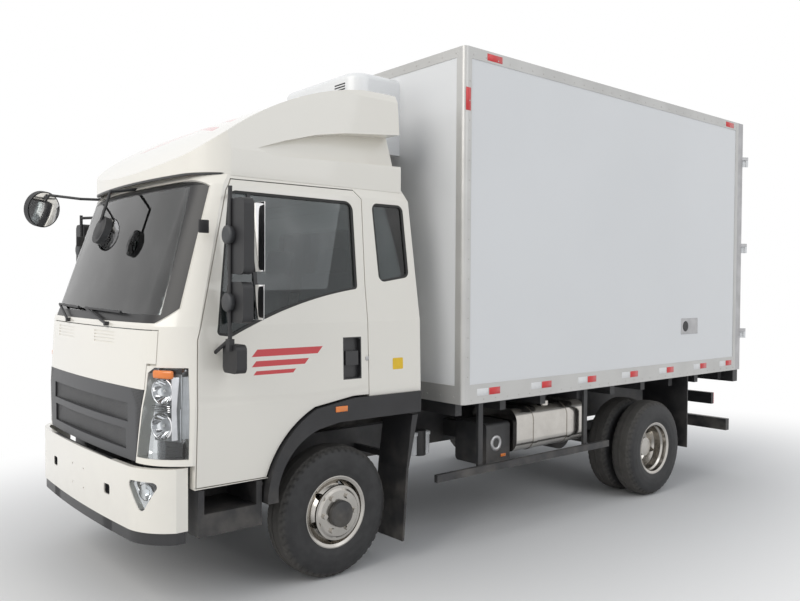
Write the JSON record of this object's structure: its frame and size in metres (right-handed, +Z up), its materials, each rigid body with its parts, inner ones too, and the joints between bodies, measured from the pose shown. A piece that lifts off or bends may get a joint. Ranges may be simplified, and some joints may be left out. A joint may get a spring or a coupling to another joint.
{
  "type": "refrigerated truck",
  "caption": "Light forward-control truck with an insulated box body, a cooling unit over the cab and twin rear wheels.",
  "frame": {"origin": "middle of the truck's length and width, on the ground", "axes": "+Z up; -Y towards the truck's front; +X towards the truck's left side"},
  "size_m": [2.515, 6.0328, 3.355],
  "materials": {
    "cab_paint": "gloss warm white paint",
    "box_paint": "smooth white panel skin",
    "chassis_black": "satin black paint",
    "black_plastic": "grained black plastic",
    "grey_plastic": "dark grey plastic",
    "trim_aluminium": "satin extruded aluminium",
    "polished_aluminium": "polished aluminium",
    "iron": "cast iron",
    "tyre": "black rubber",
    "glass": "tinted safety glass",
    "lamp_glass": "clear lamp cover",
    "lamp_red": "red lamp cover",
    "unit_plastic": "white moulded cover",
    "fabric": "grey woven seat cover",
    "dark_steel": "zinc-plated steel"
  },
  "bodies": {
    "chassis": {"frame_rail_left": "chassis_black", "frame_rail_right": "chassis_black", "cross_members": "chassis_black", "engine_block": "iron", "front_axle": "chassis_black", "leaf_springs": "chassis_black", "rear_axle": "chassis_black", "fuel_tank": "polished_aluminium", "chassis_boxes": "chassis_black", "side_guards": "chassis_black", "underrun_bar": "chassis_black", "tail_lamps": "lamp_red", "fog_lamps": "lamp_glass", "tilt_brackets": "chassis_black", "mudguards": "black_plastic", "cab_steps": "black_plastic", "bumper": "cab_paint", "box_subframe": "chassis_black", "box_floor": "trim_aluminium", "box_front_wall": "box_paint", "box_side_left": "box_paint", "box_side_right": "box_paint", "box_roof": "box_paint", "box_trim": "trim_aluminium", "box_rear_frame": "dark_steel", "reefer_unit": "unit_plastic"},
    "cab": {"cab_shell": "cab_paint", "cab_floor": "grey_plastic", "windscreen": "glass", "fixed_glass": "glass", "roof_fairing": "cab_paint", "headlamps": "lamp_glass", "arch_trims": "black_plastic", "dashboard": "grey_plastic", "seats": "fabric", "wipers": "black_plastic", "front_mirrors": "black_plastic"},
    "door_left": {"door_left": "cab_paint", "door_glass_left": "glass", "mirrors_left": "black_plastic"},
    "door_right": {"door_right": "cab_paint", "door_glass_right": "glass", "mirrors_right": "black_plastic"},
    "front_flap": {"front_panel": "cab_paint", "grille": "grey_plastic"},
    "steering_wheel": {"steering_wheel": "grey_plastic"},
    "knuckle_left": {"knuckle_left": "iron"},
    "knuckle_right": {"knuckle_right": "iron"},
    "wheel_front_left": {"tyre_front_left": "tyre", "rim_front_left": "polished_aluminium"},
    "wheel_front_right": {"tyre_front_right": "tyre", "rim_front_right": "polished_aluminium"},
    "wheel_rear_left": {"tyre_rear_outer_left": "tyre", "tyre_rear_inner_left": "tyre", "rims_rear_left": "polished_aluminium"},
    "wheel_rear_right": {"tyre_rear_outer_right": "tyre", "tyre_rear_inner_right": "tyre", "rims_rear_right": "polished_aluminium"},
    "cargo_door_left": {"cargo_door_left": "box_paint"},
    "cargo_door_right": {"cargo_door_right": "box_paint"}
  },
  "joints": [
    {"name": "cab_tilt", "type": "hinge", "parent": "chassis", "child": "cab", "pos_m": [0, -2.7875, 0.915], "axis": [1, 0, 0], "range_deg": [0, 45]},
    {"name": "door_left_swing", "type": "hinge", "parent": "cab", "child": "door_left", "pos_m": [1, -2.7135, 1.1], "axis": [0, 0, -1], "range_deg": [0, 70]},
    {"name": "door_right_swing", "type": "hinge", "parent": "cab", "child": "door_right", "pos_m": [-1, -2.7135, 1.1], "axis": [0, 0, 1], "range_deg": [0, 70]},
    {"name": "front_flap_lift", "type": "hinge", "parent": "cab", "child": "front_flap", "pos_m": [0, -2.9555, 1.541], "axis": [-1, 0, 0], "range_deg": [0, 60]},
    {"name": "steer_left", "type": "hinge", "parent": "chassis", "child": "knuckle_left", "pos_m": [0.685, -1.7575, 0.403], "axis": [0, 0, 1], "range_deg": [-35, 35]},
    {"name": "steer_right", "type": "hinge", "parent": "chassis", "child": "knuckle_right", "pos_m": [-0.685, -1.7575, 0.403], "axis": [0, 0, 1], "range_deg": [-35, 35]},
    {"name": "steering_wheel_turn", "type": "hinge", "parent": "cab", "child": "steering_wheel", "pos_m": [0.42, -2.3675, 1.44], "axis": [0, 0.5299, 0.848], "range_deg": [-595, 595]},
    {"name": "wheel_front_left_spin", "type": "hinge", "parent": "knuckle_left", "child": "wheel_front_left", "pos_m": [0.835, -1.7575, 0.403], "axis": [1, 0, 0], "continuous": true},
    {"name": "wheel_front_right_spin", "type": "hinge", "parent": "knuckle_right", "child": "wheel_front_right", "pos_m": [-0.835, -1.7575, 0.403], "axis": [1, 0, 0], "continuous": true},
    {"name": "wheel_rear_left_spin", "type": "hinge", "parent": "chassis", "child": "wheel_rear_left", "pos_m": [0.885, 1.5025, 0.403], "axis": [1, 0, 0], "continuous": true},
    {"name": "wheel_rear_right_spin", "type": "hinge", "parent": "chassis", "child": "wheel_rear_right", "pos_m": [-0.885, 1.5025, 0.403], "axis": [1, 0, 0], "continuous": true},
    {"name": "cargo_door_left_swing", "type": "hinge", "parent": "chassis", "child": "cargo_door_left", "pos_m": [1.14, 2.9835, 2.18], "axis": [0, 0, -1], "range_deg": [0, 270]},
    {"name": "cargo_door_right_swing", "type": "hinge", "parent": "chassis", "child": "cargo_door_right", "pos_m": [-1.14, 2.9835, 2.18], "axis": [0, 0, 1], "range_deg": [0, 270]}
  ],
  "couplings": [
    {"joint": "steer_right", "follows": "steer_left", "ratio": 1},
    {"joint": "steering_wheel_turn", "follows": "steer_left", "ratio": 17}
  ]
}
